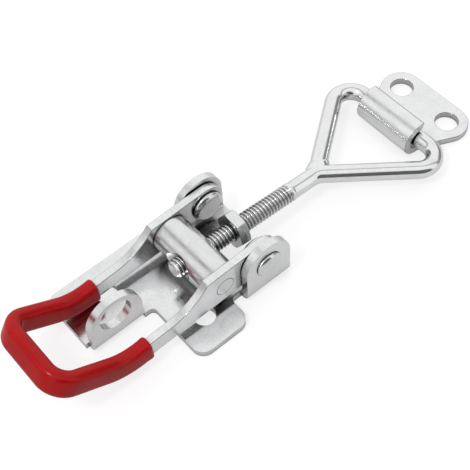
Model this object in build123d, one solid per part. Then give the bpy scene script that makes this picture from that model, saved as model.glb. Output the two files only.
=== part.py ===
"""Over centre toggle latch with a threaded draw link, a hand lever and a hook plate.

Millimetres. +X runs from the hand grip to the hook plate, +Z up, and Z = 0 is the mounting plane.
The origin lies half way between the two screw holes of the base. The latch is closed.
"""
from build123d import *
import math
import os

# ---------------------------------------------------------------- driving dimensions

# Base, one pressed sheet
sheet = 2.0                 # thickness of the sheet
bend_inner_r = 0.5          # inside radius of the pressed bends
base_front_x = -18.9        # edge under the grip
base_rear_x = 14.3          # rear edge of the screw feet
base_half_width = 18.5
foot_front_x = -0.8         # front edge of the near foot
foot_corner_r = 3.2
tongue_corner_r = 2.6
relief_r = 1.3              # inside corners of the outline
base_screw_r = 2.75
base_screw_dx = 6.8         # half the distance between the screws along X
base_screw_dy = 10.4        # half the distance between the screws along Y
floor_slot_half_width = 6.3
floor_slot_start = 8.0      # round end of the floor slot, in front of the pivot

# Pivot and ears
pivot_x = 24.3
pivot_z = 10.1
ear_r = 6.7                 # round top of the ears, about the pivot
rivet_r = 2.4
pivot_clearance = 0.05      # rivet in the lever, and cross pin in the lever
rivet_seat = 0.02           # rivet in its ear
ear_gap = 0.2               # between an arm of the lever and its ear

# Padlock lug
lug_x = -10.7
lug_half_length = 7.3
lug_height = 15.0
lug_outer_y = -0.4
lug_hole_r = 4.4
lug_hole_z = 9.5

# Lever, one strip of steel bent to a U
strip = 2.1                 # thickness of the strip
arm_inner_y = 9.3           # half the space between the arms
arm_eye_r = 5.2             # round end at the pivot, and half the height of the wide part
arm_wide_length = 16.2      # pivot to the top of the taper
arm_taper_length = 11.8
arm_narrow_height = 4.8
arm_straight_length = 36.4  # pivot to the start of the upward bend
lever_drop_angle = 1.7      # the closed lever slopes down to the grip
grip_bend_r = 14.5          # on the middle of the strip
grip_bend_angle = 33.7
grip_reach = 14.8           # end of the upward bend to the middle of the end bar
grip_corner_r = 4.7         # on the middle of the strip

# Vinyl sleeve
sleeve_wall = 0.85
sleeve_edge = 1.1
sleeve_fit = 0.02
sleeve_start = 33.6         # pivot to the open ends of the sleeve

# Cross pin
pin_along = 11.45           # pivot to pin, along the lever
pin_offset = -0.2           # pin below the middle line of the lever
pin_body_r = 5.0
pin_journal_r = 2.4
pin_side_play = 0.15
pin_countersink_r = 4.2
pin_countersink_depth = 1.9

# Draw link, one rod bent to a triangle and threaded at its end
rod_r = 2.27
thread_r = 2.45
thread_clearance = 0.05
thread_chamfer = 0.5
link_tail = 6.4             # pin to the threaded end
thread_end = 30.3           # pin to the last turn of the thread
link_apex = 39.3            # pin to the corner where the legs meet
link_reach = 68.0           # pin to the middle of the crossbar
link_half_width = 21.5      # corner of the triangle before it is rounded
link_corner_r = 5.0

# Lock nut
nut_flats = 8.5
nut_height = 2.9
nut_from_pin = 11.0         # pin to the nearer face of the nut
nut_bevel = 0.5
nut_turn_angle = 32.5

# Hook plate
hook_play = 0.73            # between the crossbar and the inside of the hook
hook_half_width = 8.85
hook_end_angle = 72.0       # where the curl stops, above the +X direction
hook_side_shift = 0.7       # the plate sits a little off the middle of the crossbar
catch_screw_r = 3.1
catch_screw_dy = 8.2        # half the distance between the screws
catch_screw_from_bar = 11.6
catch_corner_r = 5.7

# Rivet heads
rivet_head_r = 4.2
rivet_head_rim = 0.7
rivet_head_bevel = 1.0
rivet_head_height = 1.5
rivet_head_play = 0.1       # between the head and the arm of the lever
rivet_tail_r = 3.5
rivet_tail_rim = 0.4
rivet_tail_bevel = 0.7
rivet_tail_height = 1.0

# ---------------------------------------------------------------- sizes that follow

bend_outer_r = bend_inner_r + sheet
arm_mid_y = arm_inner_y + strip / 2
arm_outer_y = arm_inner_y + strip
ear_inner_y = arm_outer_y + ear_gap
ear_outer_y = ear_inner_y + sheet
narrow_mid_z = arm_narrow_height / 2 - arm_eye_r
narrow_top_z = arm_narrow_height - arm_eye_r
grip_bend_end_x = -arm_straight_length - grip_bend_r * math.sin(math.radians(grip_bend_angle))
grip_bend_end_z = narrow_mid_z + grip_bend_r * (1 - math.cos(math.radians(grip_bend_angle)))

hook_inner_r = rod_r + hook_play
hook_outer_r = hook_inner_r + sheet
bar_z = hook_outer_r

lever_place = Pos(pivot_x, 0, pivot_z) * Rot(0, -lever_drop_angle, 0)
pin_center = (lever_place * Pos(-pin_along, 0, pin_offset)).position
link_drop_angle = math.degrees(math.asin((pin_center.Z - bar_z) / link_reach))
link_place = Pos(pin_center) * Rot(0, link_drop_angle, 0)
bar_x = (link_place * Pos(link_reach, 0, 0)).position.X
catch_screw_x = bar_x + catch_screw_from_bar

ALONG_Y = Rot(-90, 0, 0)
ALONG_X = Rot(0, 90, 0)
FROM_LOW = (Align.CENTER, Align.CENTER, Align.MIN)


def corner(sketch, x, y):
    """The vertex of a flat outline that lies at a known place."""
    return sketch.vertices().sort_by_distance((x, y, 0))[0]


def block(x_low, x_high, y_low, y_high):
    """Flat rectangle between two pairs of edges."""
    middle = Pos((x_low + x_high) / 2, (y_low + y_high) / 2)
    return middle * Rectangle(x_high - x_low, y_high - y_low)


# ---------------------------------------------------------------- base

def flange(x_middle, half_length, height, outer_y, side):
    """A flap with a round top, bent up from the floor; its outer face looks along side * Y."""
    reach = bend_outer_r + 1.0
    section = block(-reach, 0, 0, sheet) + block(-sheet, 0, 0, height)
    section = fillet(corner(section, 0, 0), bend_outer_r)
    section = fillet(corner(section, -sheet, sheet), bend_inner_r)
    bent = extrude(Plane.YZ * section, amount=half_length, both=True)
    if side < 0:
        bent = mirror(bent, about=Plane.XZ)
    straight = height - half_length
    arch = block(-half_length, half_length, -1, straight) + Pos(0, straight) * Circle(half_length)
    bent = bent & extrude(Plane.XZ * arch, amount=2 * reach, both=True)
    return Pos(x_middle, outer_y, 0) * bent


def base_outline():
    """Flat outline of the floor: a long tongue, a near foot and the floor between the ears."""
    ear_root_y = ear_outer_y - bend_outer_r
    lug_root_y = lug_outer_y + bend_outer_r
    lug_rear_x = lug_x + lug_half_length
    ear_rear_x = pivot_x - ear_r
    ear_front_x = pivot_x + ear_r
    tongue = block(base_front_x, base_rear_x, lug_root_y, base_half_width)
    foot = block(foot_front_x, base_rear_x, -base_half_width, lug_root_y)
    web = block(lug_rear_x, foot_front_x, lug_outer_y, lug_root_y)
    under_ears = block(base_rear_x, ear_front_x, -ear_root_y, ear_root_y)
    outline = tongue + foot + web + under_ears
    outline = fillet(corner(outline, base_front_x, base_half_width), tongue_corner_r)
    outline = fillet(corner(outline, base_rear_x, base_half_width), foot_corner_r)
    outline = fillet(corner(outline, base_rear_x, -base_half_width), foot_corner_r)
    outline = fillet(corner(outline, foot_front_x, -base_half_width), foot_corner_r)
    outline = fillet(corner(outline, foot_front_x, lug_outer_y), relief_r)
    outline = fillet(corner(outline, base_rear_x, -ear_root_y), relief_r)
    outline = fillet(corner(outline, base_rear_x, ear_root_y), relief_r)
    slot_middle_x = pivot_x - floor_slot_start + floor_slot_half_width
    slot = Pos(slot_middle_x, 0) * Circle(floor_slot_half_width)
    slot = slot + block(slot_middle_x, ear_front_x + 1, -floor_slot_half_width, floor_slot_half_width)
    return outline - slot


def base_plate():
    """The pressed base with its ears, padlock lug and screw holes."""
    solid = extrude(base_outline(), amount=sheet)
    for side in (-1, 1):
        ear = flange(pivot_x, ear_r, pivot_z + ear_r, side * ear_outer_y, side)
        bore = Pos(pivot_x, 0, pivot_z) * ALONG_Y * Cylinder(rivet_r + rivet_seat, 3 * ear_outer_y)
        solid = solid + (ear - bore)
        screw = Pos(-side * base_screw_dx, side * base_screw_dy, 0)
        solid = solid - screw * Cylinder(base_screw_r, 3 * sheet)
    lug = flange(lug_x, lug_half_length, lug_height, lug_outer_y, -1)
    shackle = Pos(lug_x, lug_outer_y, lug_hole_z) * ALONG_Y * Cylinder(lug_hole_r, 4 * sheet)
    return solid + (lug - shackle)


def pivot_rivet(side):
    """Bevelled head inside the arm, shank through arm and ear, and the closed tail outside."""
    head_face_y = arm_inner_y - rivet_head_play
    head_rim_y = head_face_y - rivet_head_rim
    head_top_y = head_face_y - rivet_head_height
    tail_rim_y = ear_outer_y + rivet_tail_rim
    tail_top_y = ear_outer_y + rivet_tail_height
    with BuildSketch() as half:
        with BuildLine():
            Polyline(
                (0, head_top_y), (rivet_head_r - rivet_head_bevel, head_top_y),
                (rivet_head_r, head_rim_y), (rivet_head_r, head_face_y), (rivet_r, head_face_y),
                (rivet_r, ear_outer_y), (rivet_tail_r, ear_outer_y), (rivet_tail_r, tail_rim_y),
                (rivet_tail_r - rivet_tail_bevel, tail_top_y), (0, tail_top_y), close=True)
        make_face()
    rivet = revolve(half.sketch, axis=Axis.Y)
    if side < 0:
        rivet = mirror(rivet, about=Plane.XZ)
    return Pos(pivot_x, 0, pivot_z) * rivet


# ---------------------------------------------------------------- lever and sleeve

def arm_outline():
    """Side view of an arm from the eye to the narrow part, about the pivot, with X to the eye."""
    drop = arm_eye_r - narrow_top_z
    taper_r = (arm_taper_length ** 2 + drop ** 2) / (2 * drop)
    taper_angle = math.degrees(math.asin(arm_taper_length / taper_r))
    narrow_x = -arm_wide_length - arm_taper_length
    end_x = (narrow_x - arm_straight_length) / 2
    with BuildSketch() as side:
        with BuildLine():
            Line((end_x, -arm_eye_r), (0, -arm_eye_r))
            ThreePointArc((0, -arm_eye_r), (arm_eye_r, 0), (0, arm_eye_r))
            top = Line((0, arm_eye_r), (-arm_wide_length, arm_eye_r))
            taper = JernArc((narrow_x, narrow_top_z), (1, 0), taper_r, taper_angle)
            Line(taper @ 1, top @ 1)
            Line((narrow_x, narrow_top_z), (end_x, narrow_top_z))
            Line((end_x, narrow_top_z), (end_x, -arm_eye_r))
        make_face()
    return side.sketch


def grip_bar(start_length, grow, edge):
    """Bar that follows the narrow part of the lever round the grip, grown by the given amount."""
    section = Rectangle(strip + 2 * grow, arm_narrow_height + 2 * grow)
    if edge > 0:
        section = chamfer(section.vertices(), edge)
    straight = Line((-start_length, narrow_mid_z), (-arm_straight_length, narrow_mid_z))
    bend = JernArc(straight @ 1, (-1, 0), grip_bend_r, -grip_bend_angle)
    side_path = Plane.XZ * (straight + bend)
    start = Plane((-start_length, 0, narrow_mid_z), x_dir=(0, 1, 0), z_dir=(-1, 0, 0))
    arm = sweep(start * section, path=side_path)

    slope = math.radians(grip_bend_angle)
    forward = Vector(-math.cos(slope), 0, math.sin(slope))
    bend_end = Vector(grip_bend_end_x, 0, grip_bend_end_z)
    tilted = Plane(bend_end, x_dir=forward, z_dir=forward.cross(Vector(0, 1, 0)))
    loop = FilletPolyline(
        (0, -arm_mid_y), (grip_reach, -arm_mid_y), (grip_reach, arm_mid_y), (0, arm_mid_y),
        radius=grip_corner_r)
    loop_start = Plane(tilted.from_local_coords((0, -arm_mid_y, 0)), x_dir=(0, 1, 0), z_dir=forward)
    end_bar = sweep(loop_start * section, path=tilted * loop)
    return Pos(0, -arm_mid_y, 0) * arm + Pos(0, arm_mid_y, 0) * arm + end_bar


def handle():
    """The lever: two arms with eyes, joined by the bar of the grip."""
    solid = grip_bar((arm_wide_length + arm_taper_length), 0, 0)
    eye = Cylinder(rivet_r + pivot_clearance, strip * 3)
    pin_hole = Cylinder(pin_journal_r + pivot_clearance, strip * 3)
    for side in (-1, 1):
        arm = extrude(Plane.XZ * arm_outline(), amount=strip / 2, both=True)
        arm = arm - ALONG_Y * eye
        arm = arm - Pos(-pin_along, 0, pin_offset) * ALONG_Y * pin_hole
        solid = solid + Pos(0, side * arm_mid_y, 0) * arm
    return lever_place * solid


def grip_sleeve():
    """Dipped vinyl sleeve over the narrow part of the lever."""
    outside = grip_bar(sleeve_start, sleeve_wall, sleeve_edge)
    inside = grip_bar(sleeve_start - 1, sleeve_fit, 0)
    return lever_place * (outside - inside)


# ---------------------------------------------------------------- cross pin, draw link and nut

def cross_pin():
    """Barrel across the lever, with a journal in each arm and a hole for the rod."""
    body = ALONG_Y * Cylinder(pin_body_r, 2 * (arm_inner_y - pin_side_play))
    journals = ALONG_Y * Cylinder(pin_journal_r, 2 * arm_outer_y)
    hole_r = thread_r + thread_clearance
    hole = ALONG_X * Cylinder(hole_r, 4 * pin_body_r)
    sink = ALONG_X * Cone(
        pin_countersink_r, hole_r, pin_countersink_depth, align=FROM_LOW)
    mouth = ALONG_X * Cylinder(pin_countersink_r, pin_body_r, align=(
        Align.CENTER, Align.CENTER, Align.MAX))
    sink = Pos(-pin_body_r, 0, 0) * (sink + mouth)
    return link_place * (body + journals - hole - sink)


def draw_link():
    """One rod: threaded end, stem, near leg, crossbar and the far leg welded back to the stem."""
    leg_x = (link_apex + link_reach) / 2
    leg_y = link_half_width / 2
    path = FilletPolyline(
        (thread_end - 1, 0), (link_apex, 0), (link_reach, -link_half_width),
        (link_reach, link_half_width), (leg_x, leg_y), radius=link_corner_r)
    start = Plane((thread_end - 1, 0, 0), x_dir=(0, 1, 0), z_dir=(1, 0, 0))
    rod = sweep(start * Circle(rod_r), path=path)
    leg_length = math.hypot(leg_x - link_apex, leg_y)
    leg_angle = math.degrees(math.atan2(leg_y, leg_x - link_apex))
    leg_end = Cylinder(rod_r, leg_length, align=(Align.CENTER, Align.CENTER, Align.MAX))
    leg_end = Pos(leg_x, leg_y, 0) * Rot(0, 0, leg_angle) * ALONG_X * leg_end
    length = link_tail + thread_end
    thread = Cylinder(thread_r, length, align=FROM_LOW)
    thread = chamfer(thread.edges().filter_by(GeomType.CIRCLE), (thread_chamfer))
    thread = Pos(-link_tail, 0, 0) * ALONG_X * thread
    return link_place * (rod + leg_end + thread)


def lock_nut():
    """Thin hexagon nut on the rod, bevelled on both faces."""
    corner_r = nut_flats / 2 / math.cos(math.pi / 6)
    blank = extrude(RegularPolygon(corner_r, 6), amount=nut_height)
    shaping = chamfer(
        Cylinder(corner_r, nut_height, align=FROM_LOW).edges().filter_by(GeomType.CIRCLE),
        nut_bevel / 2, nut_bevel)
    bore = Cylinder(thread_r + thread_clearance, 3 * nut_height)
    nut = Rot(0, 0, nut_turn_angle) * ((blank & shaping) - bore)
    return link_place * Pos(nut_from_pin, 0, 0) * ALONG_X * nut


# ---------------------------------------------------------------- hook plate

def catch_plate():
    """Flat plate with two screw holes and a curl that holds the crossbar."""
    plate_start = block(0, sheet, -hook_half_width, hook_half_width)
    ends = Sketch()
    for side in (-1, 1):
        ends = ends + Pos(catch_screw_from_bar, side * catch_screw_dy) * Circle(catch_corner_r)
    outline = make_hull((plate_start + ends).edges())
    plate = extrude(outline, amount=sheet)
    for side in (-1, 1):
        screw = Pos(catch_screw_from_bar, side * catch_screw_dy, 0)
        plate = plate - screw * Cylinder(catch_screw_r, 3 * sheet)
    turn = hook_end_angle - 270
    with BuildSketch(Plane.XZ) as curl:
        with BuildLine():
            outer = CenterArc((0, 0), hook_outer_r, 270, turn)
            inner = CenterArc((0, 0), hook_inner_r, 270, turn)
            Line(outer @ 0, inner @ 0)
            Line(outer @ 1, inner @ 1)
        make_face()
    hook = Pos(0, 0, hook_outer_r) * extrude(curl.sketch, amount=hook_half_width, both=True)
    return Pos(bar_x, hook_side_shift, 0) * (plate + hook)


PIECES = {
    "base_plate": base_plate(),
    "pivot_rivet_near": pivot_rivet(-1),
    "pivot_rivet_far": pivot_rivet(1),
    "handle": handle(),
    "grip_sleeve": grip_sleeve(),
    "cross_pin": cross_pin(),
    "draw_link": draw_link(),
    "lock_nut": lock_nut(),
    "catch_plate": catch_plate(),
}

os.makedirs("parts", exist_ok=True)
for name, solid in PIECES.items():
    export_step(solid, "parts/" + name + ".step")
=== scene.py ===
import math

import bmesh
import bpy
from mathutils import Matrix, Vector


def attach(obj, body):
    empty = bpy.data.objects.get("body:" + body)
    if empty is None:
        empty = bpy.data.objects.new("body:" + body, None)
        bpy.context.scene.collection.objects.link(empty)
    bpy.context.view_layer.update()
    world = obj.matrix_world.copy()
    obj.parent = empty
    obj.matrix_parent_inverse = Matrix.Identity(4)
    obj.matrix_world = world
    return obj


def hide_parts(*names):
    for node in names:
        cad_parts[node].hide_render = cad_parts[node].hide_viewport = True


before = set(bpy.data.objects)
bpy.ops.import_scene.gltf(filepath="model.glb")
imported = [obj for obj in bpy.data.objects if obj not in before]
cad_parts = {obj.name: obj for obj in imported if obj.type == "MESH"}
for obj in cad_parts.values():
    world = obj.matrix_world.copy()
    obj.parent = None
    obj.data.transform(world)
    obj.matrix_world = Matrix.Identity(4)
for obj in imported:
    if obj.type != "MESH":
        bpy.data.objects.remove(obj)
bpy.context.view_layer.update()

# ------------------------------------------------------------ base plate
# Floor, two ears and the padlock lug, pressed from one sheet of 2 mm steel and
# bright zinc plated. Pressing leaves its cut edges slightly round.
MM = 0.001


def darkened_zinc(nodes, links, colour, share):
    """Colour of the zinc, darker where the share is under 1."""
    product = nodes.new("ShaderNodeVectorMath")
    product.operation = "SCALE"
    links.new(colour, product.inputs[0])
    links.new(share, product.inputs["Scale"])
    return product.outputs["Vector"]


def graded(nodes, links, value, low, high, at_low, at_high):
    """Value stretched so that low becomes at_low and high becomes at_high."""
    stretch = nodes.new("ShaderNodeMapRange")
    for name, number in (("From Min", low), ("From Max", high),
                         ("To Min", at_low), ("To Max", at_high)):
        stretch.inputs[name].default_value = number
    links.new(value, stretch.inputs["Value"])
    return stretch


def zinc_plate(name, tint, roughness, mottle, streak=(1.0, 1.0, 1.0)):
    """Bright zinc over steel: near mirror, faintly clouded, with the steel's own grain below.

    Mottle is the share by which its clouds and flecks are duller. Streak draws them out along
    the axis whose number is small.
    """
    material = bpy.data.materials.new(name)
    material.use_nodes = True
    nodes = material.node_tree.nodes
    links = material.node_tree.links
    shader = nodes["Principled BSDF"]
    shader.inputs["Metallic"].default_value = 1.0

    place = nodes.new("ShaderNodeTexCoord")
    stretch = nodes.new("ShaderNodeMapping")
    stretch.inputs["Scale"].default_value = streak
    links.new(place.outputs["Object"], stretch.inputs["Vector"])

    def noise(scale, detail):
        """Cloud pattern that lies in the metal, with scale patches a metre."""
        pattern = nodes.new("ShaderNodeTexNoise")
        pattern.inputs["Scale"].default_value = scale
        pattern.inputs["Detail"].default_value = detail
        links.new(stretch.outputs["Vector"], pattern.inputs["Vector"])
        return pattern

    cloud = noise(260.0, 5.0)
    cloud.inputs["Roughness"].default_value = 0.6
    shade = nodes.new("ShaderNodeValToRGB")
    dull, bright = shade.color_ramp.elements
    dull.position = 0.32
    dull.color = [channel * (1.0 - mottle) for channel in tint] + [1.0]
    bright.position = 0.62
    bright.color = [*tint, 1.0]
    links.new(cloud.outputs["Fac"], shade.inputs["Fac"])
    fleck = graded(nodes, links, noise(4200.0, 2.0).outputs["Fac"],
                   0.30, 0.55, 1.0 - 1.8 * mottle, 1.0)
    colour = darkened_zinc(nodes, links, shade.outputs["Color"], fleck.outputs["Result"])

    # Painted shade: the zinc's colour is darkened by ambient occlusion in the gaps, along inner
    # corners and under parts, where shade falls.
    for reach, open_share, darkest in ((0.9 * MM, 0.90, 0.24), (7.0 * MM, 0.85, 0.42)):
        occlusion = nodes.new("ShaderNodeAmbientOcclusion")
        occlusion.samples = 8
        occlusion.inputs["Distance"].default_value = reach
        painted_shade = graded(nodes, links, occlusion.outputs["AO"], 0.15, open_share, darkest, 1.0)
        colour = darkened_zinc(nodes, links, colour, painted_shade.outputs["Result"])
    links.new(colour, shader.inputs["Base Color"])

    gloss = graded(nodes, links, cloud.outputs["Fac"],
                   0.3, 0.7, roughness * 1.35, roughness * 0.70)
    links.new(gloss.outputs["Result"], shader.inputs["Roughness"])

    skin = nodes.new("ShaderNodeBump")
    skin.inputs["Strength"].default_value = 0.5
    skin.inputs["Distance"].default_value = 0.01 * MM
    links.new(noise(1700.0, 3.0).outputs["Fac"], skin.inputs["Height"])
    links.new(skin.outputs["Normal"], shader.inputs["Normal"])
    return material


flat, rolled, upright_cut, level_cut = range(4)     # order of the finishes on a piece


def eased(node, finishes, body, edge, cut=None):
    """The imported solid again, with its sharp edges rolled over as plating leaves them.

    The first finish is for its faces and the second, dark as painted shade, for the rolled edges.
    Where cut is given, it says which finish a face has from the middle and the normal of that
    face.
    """
    sheet = bmesh.new()
    sheet.from_mesh(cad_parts[node].data)
    bmesh.ops.remove_doubles(sheet, verts=sheet.verts, dist=0.002 * MM)
    bmesh.ops.dissolve_limit(sheet, angle_limit=0.004, verts=sheet.verts, edges=sheet.edges,
                             delimit={"NORMAL"})
    mesh = bpy.data.meshes.new(node + "_eased")
    sheet.to_mesh(mesh)
    sheet.free()
    for leftover in ("custom_normal", "sharp_edge", "sharp_face"):
        if leftover in mesh.attributes:
            mesh.attributes.remove(mesh.attributes[leftover])
    mesh.materials.clear()
    for finish in finishes:
        mesh.materials.append(finish)
    for face in mesh.polygons:
        face.use_smooth = True
        face.material_index = cut(face.center, face.normal) if cut else flat

    piece = bpy.data.objects.new(node + "_eased", mesh)
    bpy.context.scene.collection.objects.link(piece)
    roll = piece.modifiers.new("roll", "BEVEL")
    roll.width = edge
    roll.segments = 2
    roll.limit_method = "ANGLE"
    roll.angle_limit = math.radians(40.0)
    roll.use_clamp_overlap = True
    # The rolled edges take the second finish, whose dark tint is painted shade along the edges.
    if len(finishes) > 1:
        roll.material = rolled
    level = piece.modifiers.new("level", "WEIGHTED_NORMAL")
    level.mode = "FACE_AREA"
    level.weight = 50
    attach(piece, body)
    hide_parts(node)


# The second finish is tinted dark: painted shade that draws a shadowed outline along the rolled
# edges.
sheet_finish = (
    zinc_plate("sheet_zinc", (0.82, 0.823, 0.828), 0.18, 0.06),
    zinc_plate("rolled_edge_painted_shade", (0.46, 0.465, 0.47), 0.22, 0.10),
    zinc_plate("cut_upright", (0.84, 0.845, 0.85), 0.27, 0.07, (1.0, 0.16, 1.0)),
    zinc_plate("cut_flat", (0.80, 0.805, 0.81), 0.27, 0.07, (1.0, 1.0, 0.16)))
sheet_top = 2.05 * MM            # just above the top of a sheet that lies flat


def base_cut(middle, normal):
    """Sheared faces of the base: round the floor, and round the ears and the lug."""
    if middle.z < sheet_top:
        return level_cut if abs(normal.z) < 0.5 else flat
    crown = abs(normal.y) < 0.2 and normal.z > 0.5
    return upright_cut if abs(normal.x) > 0.5 or crown else flat


eased("base_plate", sheet_finish, "base", 0.36 * MM, base_cut)

# ------------------------------------------------------------ pivot rivets
# Two steel rivets, each through an arm and its ear. The domed head is inside
# the arm and the peened end is outside the ear. Both are bright zinc plated.
turned_zinc = zinc_plate("turned_zinc", (0.79, 0.793, 0.80), 0.20, 0.07)
for rivet in ("pivot_rivet_near", "pivot_rivet_far"):
    eased(rivet, (turned_zinc,), "base", 0.22 * MM)

# ------------------------------------------------------------ lever
# One strip of 2.1 mm steel bent to a U, with eyes punched for the pivot rivets
# and for the journals of the cross pin, then bright zinc plated.


def lever_cut(middle, normal):
    """Sheared faces of the strip, which run round both arms."""
    return upright_cut if abs(normal.y) < 0.3 else flat


eased("handle", sheet_finish, "lever", 0.36 * MM, lever_cut)

# ------------------------------------------------------------ grip sleeve
# Red vinyl dipped over the narrow part of the lever. It sets glossy, with soft
# corners and a slightly thicker lip where the dip ended.
vinyl = bpy.data.materials.new("red_vinyl")
vinyl.use_nodes = True
vinyl_nodes = vinyl.node_tree.nodes
vinyl_links = vinyl.node_tree.links
vinyl_shader = vinyl_nodes["Principled BSDF"]
vinyl_shader.inputs["Specular IOR Level"].default_value = 0.03
vinyl_shader.inputs["Coat Weight"].default_value = 0.35
vinyl_shader.inputs["Coat Roughness"].default_value = 0.18
vinyl_shader.inputs["IOR"].default_value = 1.5
vinyl_place = vinyl_nodes.new("ShaderNodeTexCoord")
dip = vinyl_nodes.new("ShaderNodeTexNoise")
dip.inputs["Scale"].default_value = 130.0
dip.inputs["Detail"].default_value = 4.0
vinyl_links.new(vinyl_place.outputs["Object"], dip.inputs["Vector"])
dip_shade = vinyl_nodes.new("ShaderNodeValToRGB")
deep_red, bright_red = dip_shade.color_ramp.elements
deep_red.position = 0.30
deep_red.color = (0.36, 0.002, 0.003, 1.0)
bright_red.position = 0.70
bright_red.color = (0.46, 0.004, 0.005, 1.0)
vinyl_links.new(dip.outputs["Fac"], dip_shade.inputs["Fac"])
vinyl_links.new(dip_shade.outputs["Color"], vinyl_shader.inputs["Base Color"])
dip_gloss = graded(vinyl_nodes, vinyl_links, dip.outputs["Fac"], 0.0, 1.0, 0.30, 0.48)
vinyl_links.new(dip_gloss.outputs["Result"], vinyl_shader.inputs["Roughness"])
dip_skin = vinyl_nodes.new("ShaderNodeTexNoise")
dip_skin.inputs["Scale"].default_value = 700.0
dip_skin.inputs["Detail"].default_value = 2.0
vinyl_links.new(vinyl_place.outputs["Object"], dip_skin.inputs["Vector"])
dip_bump = vinyl_nodes.new("ShaderNodeBump")
dip_bump.inputs["Strength"].default_value = 0.4
dip_bump.inputs["Distance"].default_value = 0.03 * MM
vinyl_links.new(dip_skin.outputs["Fac"], dip_bump.inputs["Height"])
vinyl_links.new(dip_bump.outputs["Normal"], vinyl_shader.inputs["Normal"])

pivot = Vector((24.3, 0.0, 10.1)) * MM
lever_turn = Matrix.Rotation(math.radians(-1.7), 3, "Y")
strip_low = -2.8 * MM            # middle line of the narrow part, below the pivot
strip_side = 10.35 * MM          # middle of the strip, from the middle of the latch
bend_start = 36.4 * MM           # where the arms turn up towards the grip
bend_radius = 14.5 * MM
bend_turn = math.radians(33.7)
grip_reach = 14.8 * MM           # from the end of that bend to the cross bar of the U
grip_corner = 4.7 * MM
sleeve_start = 33.6 * MM
sleeve_half_wide = 1.9 * MM
sleeve_half_tall = 3.25 * MM
sleeve_round = 1.6 * MM
sleeve_lip = ((0.0, -0.80 * MM, 0.94), (0.0, -0.30 * MM, 0.97), (0.16 * MM, -0.08 * MM, 0.99),
              (0.45 * MM, 0.06 * MM, 1.0), (1.0 * MM, 0.07 * MM, 1.0), (1.9 * MM, 0.0, 1.0))
points_under_lip = 5             # of the middle line, which the lip's own rings stand for


def sleeve_line():
    """Middle line of the sleeve from the near arm round to the far one: point, across, upright."""
    side = []
    for step in range(7):
        reach = sleeve_start + (bend_start - sleeve_start) * step / 6
        side.append((Vector((-reach, 0.0, strip_low)), 0.0))
    for step in range(1, 25):
        turn = bend_turn * step / 24
        side.append((Vector((-bend_start - bend_radius * math.sin(turn), 0.0,
                             strip_low + bend_radius * (1.0 - math.cos(turn)))), turn))
    ahead = Vector((-math.cos(bend_turn), 0.0, math.sin(bend_turn)))
    upright = Vector((math.sin(bend_turn), 0.0, math.cos(bend_turn)))
    bend_end = side[-1][0]
    for step in range(1, 11):
        side.append((bend_end + ahead * (grip_reach - grip_corner) * step / 10, bend_turn))
    half = []
    for point, turn in side:
        half.append((point - Vector((0.0, strip_side, 0.0)), Vector((0.0, -1.0, 0.0)),
                     Vector((math.sin(turn), 0.0, math.cos(turn)))))
    middle = bend_end + ahead * (grip_reach - grip_corner)
    middle = middle - Vector((0.0, strip_side - grip_corner, 0.0))
    for step in range(1, 17):
        turn = math.pi / 2 * step / 16
        across = ahead * math.sin(turn) - Vector((0.0, math.cos(turn), 0.0))
        half.append((middle + across * grip_corner, across, upright))
    end_bar = bend_end + ahead * grip_reach
    for step in range(1, 9):
        place = (grip_corner - strip_side) * (1.0 - step / 8)
        half.append((end_bar + Vector((0.0, place, 0.0)), ahead, upright))
    flip = Vector((1.0, -1.0, 1.0))
    mirrored = [(point * flip, across * flip, rise) for point, across, rise in reversed(half[:-1])]
    return half + mirrored


def sleeve_ring(middle, across, rise, grow, pull):
    """Rounded section of the sleeve; grow makes it larger and pull shortens its straight sides."""
    ring = []
    for quarter in range(4):
        sign_wide = 1.0 if quarter in (0, 3) else -1.0
        sign_tall = 1.0 if quarter in (0, 1) else -1.0
        for step in range(7):
            turn = math.pi / 2 * (quarter + step / 6)
            wide = (sign_wide * (sleeve_half_wide - sleeve_round) * pull
                    + (sleeve_round + grow) * math.cos(turn))
            tall = (sign_tall * (sleeve_half_tall - sleeve_round) * pull
                    + (sleeve_round + grow) * math.sin(turn))
            ring.append(middle + across * wide + rise * tall)
    return ring


def tube_faces(rows, around, offset):
    """Quads between neighbouring rings of a tube whose first point is number offset."""
    faces = []
    for row in range(rows - 1):
        start = offset + row * around
        for step in range(around):
            after = (step + 1) % around
            faces.append((start + step, start + after,
                          start + around + after, start + around + step))
    return faces


def sleeve_mesh():
    """Skin of the sleeve with a soft lip at each open end."""
    line = sleeve_line()
    near_point, near_across, near_rise = line[0]
    far_point, far_across, far_rise = line[-1]
    back = Vector((1.0, 0.0, 0.0))
    rings = [sleeve_ring(near_point - back * inward, near_across, near_rise, grow, pull)
             for inward, grow, pull in sleeve_lip]
    rings += [sleeve_ring(point, across, rise, 0.0, 1.0)
              for point, across, rise in line[points_under_lip:-points_under_lip]]
    rings += [sleeve_ring(far_point - back * inward, far_across, far_rise, grow, pull)
              for inward, grow, pull in reversed(sleeve_lip)]
    verts = [pivot + lever_turn @ spot for ring in rings for spot in ring]
    mesh = bpy.data.meshes.new("vinyl_sleeve")
    mesh.from_pydata([tuple(vert) for vert in verts], [],
                     tube_faces(len(rings), len(rings[0]), 0))
    skin = bmesh.new()
    skin.from_mesh(mesh)
    bmesh.ops.recalc_face_normals(skin, faces=skin.faces)
    skin.to_mesh(mesh)
    skin.free()
    for face in mesh.polygons:
        face.use_smooth = True
    mesh.materials.append(vinyl)
    return mesh


sleeve = bpy.data.objects.new("vinyl_sleeve", sleeve_mesh())
bpy.context.scene.collection.objects.link(sleeve)
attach(sleeve, "lever")
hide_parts("grip_sleeve")

# ------------------------------------------------------------ cross pin
# Steel barrel turned with a journal at each end, cross drilled and countersunk
# for the draw rod, bright zinc plated.
eased("cross_pin", (turned_zinc, sheet_finish[rolled]), "pin", 0.22 * MM)

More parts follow.
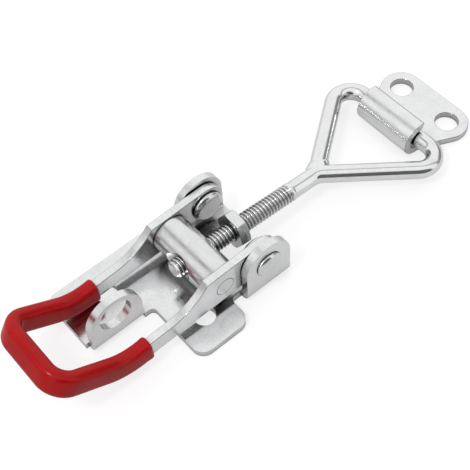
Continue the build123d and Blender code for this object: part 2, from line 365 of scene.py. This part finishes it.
# ------------------------------------------------------------ draw link
# One steel rod, rolled thread at one end, bent to a triangle at the other and
# welded back to its own stem. It is plated after welding.
rod_zinc = zinc_plate("rod_zinc", (0.86, 0.863, 0.87), 0.14, 0.06)
pin_middle = Vector((12.86097, 0.0, 9.56041)) * MM
link_turn = Matrix.Rotation(math.radians(3.845419), 3, "Y")     # it slopes down to the hook
rod_radius = 2.27 * MM
rod_sides = 40
stem_start = 29.6 * MM           # distances along the rod are from the middle of the cross pin
apex = 39.3 * MM
crossbar = 68.0 * MM
half_width = 21.5 * MM
bend_size = 5.0 * MM
leg_steps = 12                   # rings of the welded half of the far leg
thread_pitch = 0.97 * MM
thread_start = -6.4 * MM
thread_stop = 30.3 * MM
thread_sides = 72
crest_radius = 2.45 * MM
thread_depth = 0.52 * MM
thread_fade = 1.2 * MM           # length over which the thread runs out
tip_bevel = 0.55 * MM
run_out_rings = ((0.35 * MM, 2.36 * MM), (0.6 * MM, 2.28 * MM), (0.8 * MM, 2.20 * MM))
weld_middle = Vector((apex + 1.4 * MM, 0.9 * MM, 0.0))
weld_size = (4.1, 2.75, 2.42)    # half its length, width and height, in mm
weld_turn = Matrix.Rotation(0.32, 3, "Z")


def rounded_run(corners, radius, spacing):
    """Points along straight runs whose corners are rounded to arcs."""
    points = [Vector(corners[0])]
    for before, here, after in zip(corners, corners[1:], corners[2:]):
        here = Vector(here)
        back = (Vector(before) - here).normalized()
        ahead = (Vector(after) - here).normalized()
        half_angle = back.angle(ahead) / 2
        tangent = radius / math.tan(half_angle)
        start = here + back * tangent
        middle = here + (back + ahead).normalized() * radius / math.sin(half_angle)
        count = max(2, int((start - points[-1]).length / spacing))
        for step in range(1, count):
            points.append(points[-1].lerp(start, 1.0 / (count - step + 1)))
        turn_axis = (start - middle).cross(back).normalized()
        sweep = math.pi - 2 * half_angle
        count = max(6, int(sweep / math.radians(6.0)))
        for step in range(count + 1):
            spin = Matrix.Rotation(-sweep * step / count, 3, turn_axis)
            points.append(middle + spin @ (start - middle))
    last = Vector(corners[-1])
    start = points[-1]
    count = max(2, int((last - start).length / spacing))
    for step in range(1, count + 1):
        points.append(start.lerp(last, step / count))
    return points


def bent_rod(points):
    """Rings of the plain rod along points that lie in one plane."""
    upright = Vector((0.0, 0.0, 1.0))
    verts = []
    for index, point in enumerate(points):
        before = points[max(0, index - 1)]
        after = points[min(len(points) - 1, index + 1)]
        along = (after - before).normalized()
        across = Vector((-along.y, along.x, 0.0))
        for step in range(rod_sides):
            turn = 2 * math.pi * step / rod_sides
            verts.append(point + across * rod_radius * math.cos(turn)
                         + upright * rod_radius * math.sin(turn))
    return verts


def thread_height(along, turn):
    """Radius of a rolled thread at a distance along the rod and a turn about it."""
    phase = (along / thread_pitch - turn / (2 * math.pi)) % 1.0
    ridge = 1.0 - abs(2.0 * phase - 1.0)
    ridge = min(1.0, max(0.0, (ridge - 0.14) / 0.74))           # narrow flat root, wide crest
    ridge = ridge * ridge * (3.0 - 2.0 * ridge)
    depth = thread_depth * min(1.0, max(0.0, (thread_stop - along) / thread_fade))
    return crest_radius - depth * (1.0 - ridge)


def rolled_thread():
    """Rings of the threaded end, with a bevelled tip and a run-out at the stem."""
    tip_radius = crest_radius - tip_bevel
    rings = [(thread_start, [tip_radius * share] * thread_sides) for share in (0.0, 0.5, 0.8)]
    rows_a_turn = 12
    count = int(round((thread_stop - thread_start) / (thread_pitch / rows_a_turn)))
    for row in range(count + 1):
        along = thread_start + (thread_stop - thread_start) * row / count
        limit = crest_radius - tip_bevel + (along - thread_start)
        rings.append((along, [min(limit, thread_height(along, 2 * math.pi * step / thread_sides))
                              for step in range(thread_sides)]))
    rings += [(thread_stop + reach, [radius] * thread_sides) for reach, radius in run_out_rings]
    verts = []
    for along, radii in rings:
        for step, radius in enumerate(radii):
            turn = 2 * math.pi * step / thread_sides
            verts.append(Vector((along, radius * math.cos(turn), radius * math.sin(turn))))
    return verts, len(rings)


def link_mesh():
    """Rod, far leg, weld and thread as one mesh, laid out with the stem along X."""
    leg_middle = Vector(((apex + crossbar) / 2, half_width / 2, 0.0))
    run = rounded_run(((stem_start, 0.0, 0.0), (apex, 0.0, 0.0), (crossbar, -half_width, 0.0),
                       (crossbar, half_width, 0.0), tuple(leg_middle)), bend_size, 1.2 * MM)
    leg_end = Vector((apex - 0.4 * MM, -0.3 * MM, 0.0))
    run += [run[-1].lerp(leg_end, step / leg_steps) for step in range(1, leg_steps + 1)]
    verts = bent_rod(run)
    faces = tube_faces(len(run), rod_sides, 0)
    thread, rows = rolled_thread()
    faces += tube_faces(rows, thread_sides, len(verts))
    verts += thread
    mesh = bpy.data.meshes.new("draw_rod")
    mesh.from_pydata([tuple(pin_middle + link_turn @ vert) for vert in verts], [], faces)
    skin = bmesh.new()
    skin.from_mesh(mesh)
    bmesh.ops.remove_doubles(skin, verts=skin.verts, dist=0.0001 * MM)
    bmesh.ops.recalc_face_normals(skin, faces=skin.faces)
    bead = bmesh.ops.create_icosphere(skin, subdivisions=4, radius=1.0)
    for vert in bead["verts"]:
        spot = vert.co.copy()
        ripple = 1.0 + 0.03 * math.sin(9.0 * spot.x + 5.0 * spot.y) * math.cos(7.0 * spot.z)
        spot = Vector([place * size for place, size in zip(spot, weld_size)]) * MM * ripple
        vert.co = pin_middle + link_turn @ (weld_middle + weld_turn @ spot)
    skin.to_mesh(mesh)
    skin.free()
    for face in mesh.polygons:
        face.use_smooth = True
    mesh.materials.append(rod_zinc)
    return mesh


rod = bpy.data.objects.new("draw_rod", link_mesh())
bpy.context.scene.collection.objects.link(rod)
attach(rod, "link")
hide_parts("draw_link")

# ------------------------------------------------------------ lock nut
# Thin hexagon nut of plated steel, bevelled on both faces, run on the rod
# against the cross pin to hold the set length.
eased("lock_nut", (turned_zinc, sheet_finish[rolled]), "nut", 0.12 * MM)

# ------------------------------------------------------------ hook plate
# Pressed from the same 2 mm sheet as the base, with one edge curled to a hook
# round the crossbar and two screw holes. Its zinc is more satin than the base's.
satin_finish = (zinc_plate("satin_zinc", (0.86, 0.863, 0.868), 0.24, 0.06), *sheet_finish[1:])
curl_top = 9.5 * MM              # the curl's free end lies above this
curl_end = 81.9 * MM             # and beyond this the strip of its outside takes the dark edge finish, as painted shade
curl_back = 81.5 * MM            # the flat of the plate lies beyond this


def hook_cut(middle, normal):
    """Sheared faces of the hook plate: its sides, its holes and its ends; and the painted shade
    strip at the curl's free end.
    """
    if abs(normal.y) > 0.9:
        return level_cut
    # The curl's outermost strip gets the dark edge finish: a painted shade line along its free
    # end.
    if middle.z > curl_top and middle.x > curl_end:
        return rolled
    edge_of_flat = middle.z < sheet_top and middle.x > curl_back and abs(normal.z) < 0.5
    return level_cut if edge_of_flat else flat


eased("catch_plate", satin_finish, "catch", 0.42 * MM, hook_cut)

# ------------------------------------------------------------ floor and light
# White table in a light tent of white cloth, which has darker places low down
# and a seam that only the plating shows, and one small soft lamp.
table_half = 2.0
table_drop = 0.05 * MM           # keeps it clear of the underside of the base
table_corners = [(-table_half, -table_half, 0.0), (table_half, -table_half, 0.0),
                 (table_half, table_half, 0.0), (-table_half, table_half, 0.0)]
tabletop = bpy.data.meshes.new("tabletop")
tabletop.from_pydata(table_corners, [], [(0, 1, 2, 3)])
table = bpy.data.objects.new("tabletop", tabletop)
table.location = (0.0, 0.0, -table_drop)
bpy.context.scene.collection.objects.link(table)
white = bpy.data.materials.new("white_table")
white.use_nodes = True
white_nodes = white.node_tree.nodes
white_links = white.node_tree.links
white_nodes.remove(white_nodes["Principled BSDF"])
paper = white_nodes.new("ShaderNodeBsdfDiffuse")
paper.inputs["Color"].default_value = (0.45, 0.45, 0.45, 1.0)
seen_paper = white_nodes.new("ShaderNodeBsdfDiffuse")
seen_paper.inputs["Color"].default_value = (0.38, 0.38, 0.38, 1.0)
glow = white_nodes.new("ShaderNodeEmission")
glow.inputs["Strength"].default_value = 0.68
seen = white_nodes.new("ShaderNodeAddShader")
white_links.new(seen_paper.outputs["BSDF"], seen.inputs[0])
white_links.new(glow.outputs["Emission"], seen.inputs[1])


def light_share(nodes, links, operation, first, second):
    """One share of light worked out from two; the second may be a plain number."""
    share = nodes.new("ShaderNodeMath")
    share.operation = operation
    links.new(first, share.inputs[0])
    if isinstance(second, float):
        share.inputs[1].default_value = second
    else:
        links.new(second, share.inputs[1])
    return share.outputs["Value"]


ray = white_nodes.new("ShaderNodeLightPath")
half_gloss = light_share(white_nodes, white_links, "MULTIPLY", ray.outputs["Is Glossy Ray"], 0.5)
seen_share = light_share(white_nodes, white_links, "MAXIMUM",
                         ray.outputs["Is Camera Ray"], half_gloss)
seen_share = light_share(white_nodes, white_links, "MAXIMUM",
                         seen_share, ray.outputs["Is Transmission Ray"])
choose = white_nodes.new("ShaderNodeMixShader")
white_links.new(seen_share, choose.inputs["Fac"])
white_links.new(paper.outputs["BSDF"], choose.inputs[1])
white_links.new(seen.outputs["Shader"], choose.inputs[2])
white_links.new(choose.outputs["Shader"], white_nodes["Material Output"].inputs["Surface"])
tabletop.materials.append(white)

tent = bpy.data.worlds.new("light_tent")
tent.use_nodes = True
bpy.context.scene.world = tent
tent_nodes = tent.node_tree.nodes
tent_links = tent.node_tree.links
sky = tent_nodes["Background"]
direction = tent_nodes.new("ShaderNodeTexCoord")


def facing(toward):
    """How far a direction in the tent points along toward: 1 when it is the same, 0 across."""
    share = tent_nodes.new("ShaderNodeVectorMath")
    share.operation = "DOT_PRODUCT"
    share.inputs[1].default_value = toward
    tent_links.new(direction.outputs["Generated"], share.inputs[0])
    return share.outputs["Value"]


seam_distance = tent_nodes.new("ShaderNodeMath")
seam_distance.operation = "ABSOLUTE"
tent_links.new(facing(Vector((-0.614, -0.763, 0.20))), seam_distance.inputs[0])
seam = graded(tent_nodes, tent_links, seam_distance.outputs["Value"], 0.03, 0.12, 0.34, 1.0)
seam.interpolation_type = "SMOOTHSTEP"
light_level = seam.outputs["Result"]
# Darker places: direction, degrees where full and where gone, brightness left.
for toward, inner, outer, level in (((-0.25, -0.95, 0.15), 33.0, 42.0, 0.12),
                                    ((0.98, -0.12, 0.02), 22.0, 35.0, 0.26),
                                    ((-0.93, 0.30, -0.25), 18.0, 46.0, 0.45)):
    fade = graded(tent_nodes, tent_links, facing(Vector(toward).normalized()),
                  math.cos(math.radians(outer)), math.cos(math.radians(inner)), 1.0, level)
    fade.interpolation_type = "SMOOTHSTEP"
    light_level = light_share(tent_nodes, tent_links, "MULTIPLY",
                              light_level, fade.outputs["Result"])
tent_links.new(light_level, sky.inputs["Strength"])
sky.inputs["Color"].default_value = (1.0, 1.0, 1.0, 1.0)
backdrop = tent_nodes.new("ShaderNodeBackground")
backdrop.inputs["Color"].default_value = (1.0, 1.0, 1.0, 1.0)
backdrop.inputs["Strength"].default_value = 1.0
world_ray = tent_nodes.new("ShaderNodeLightPath")
tent_mix = tent_nodes.new("ShaderNodeMixShader")
tent_links.new(world_ray.outputs["Is Camera Ray"], tent_mix.inputs["Fac"])
tent_links.new(sky.outputs["Background"], tent_mix.inputs[1])
tent_links.new(backdrop.outputs["Background"], tent_mix.inputs[2])
tent_links.new(tent_mix.outputs["Shader"], tent_nodes["World Output"].inputs["Surface"])

lamp_data = bpy.data.lights.new("soft_lamp", "AREA")
lamp_data.shape = "RECTANGLE"
lamp_data.size = 0.12
lamp_data.size_y = 0.12
lamp_data.energy = 1.0
lamp = bpy.data.objects.new("soft_lamp", lamp_data)
lamp.location = (-0.32, -0.04, 0.62)
aim = Vector((0.03, 0.0, 0.0)) - lamp.location
lamp.rotation_euler = aim.to_track_quat("-Z", "Y").to_euler()
bpy.context.scene.collection.objects.link(lamp)

# ------------------------------------------------------------ camera
# Long lens from above the near side of the grip, with the latch turned across
# the frame from the grip, low on the left, to the hook, high on the right.
lens_right = Vector((0.76063559, -0.64773861, -0.04322262))
lens_up = Vector((0.55275453, 0.61130361, 0.56636589))
lens_ahead = Vector((0.34043491, 0.45468955, -0.82301974))
camera_data = bpy.data.cameras.new("camera")
camera_data.sensor_fit = "HORIZONTAL"
camera_data.sensor_width = 36.0
camera_data.lens = 80.478
camera_data.clip_start = 0.01
camera = bpy.data.objects.new("camera", camera_data)
stand = Matrix((lens_right, lens_up, -lens_ahead)).transposed().to_4x4()
stand.translation = Vector((-0.06161440, -0.11609009, 0.21629473))
camera.matrix_world = stand
bpy.context.scene.collection.objects.link(camera)
bpy.context.scene.camera = camera
bpy.context.scene.view_settings.view_transform = "Standard"
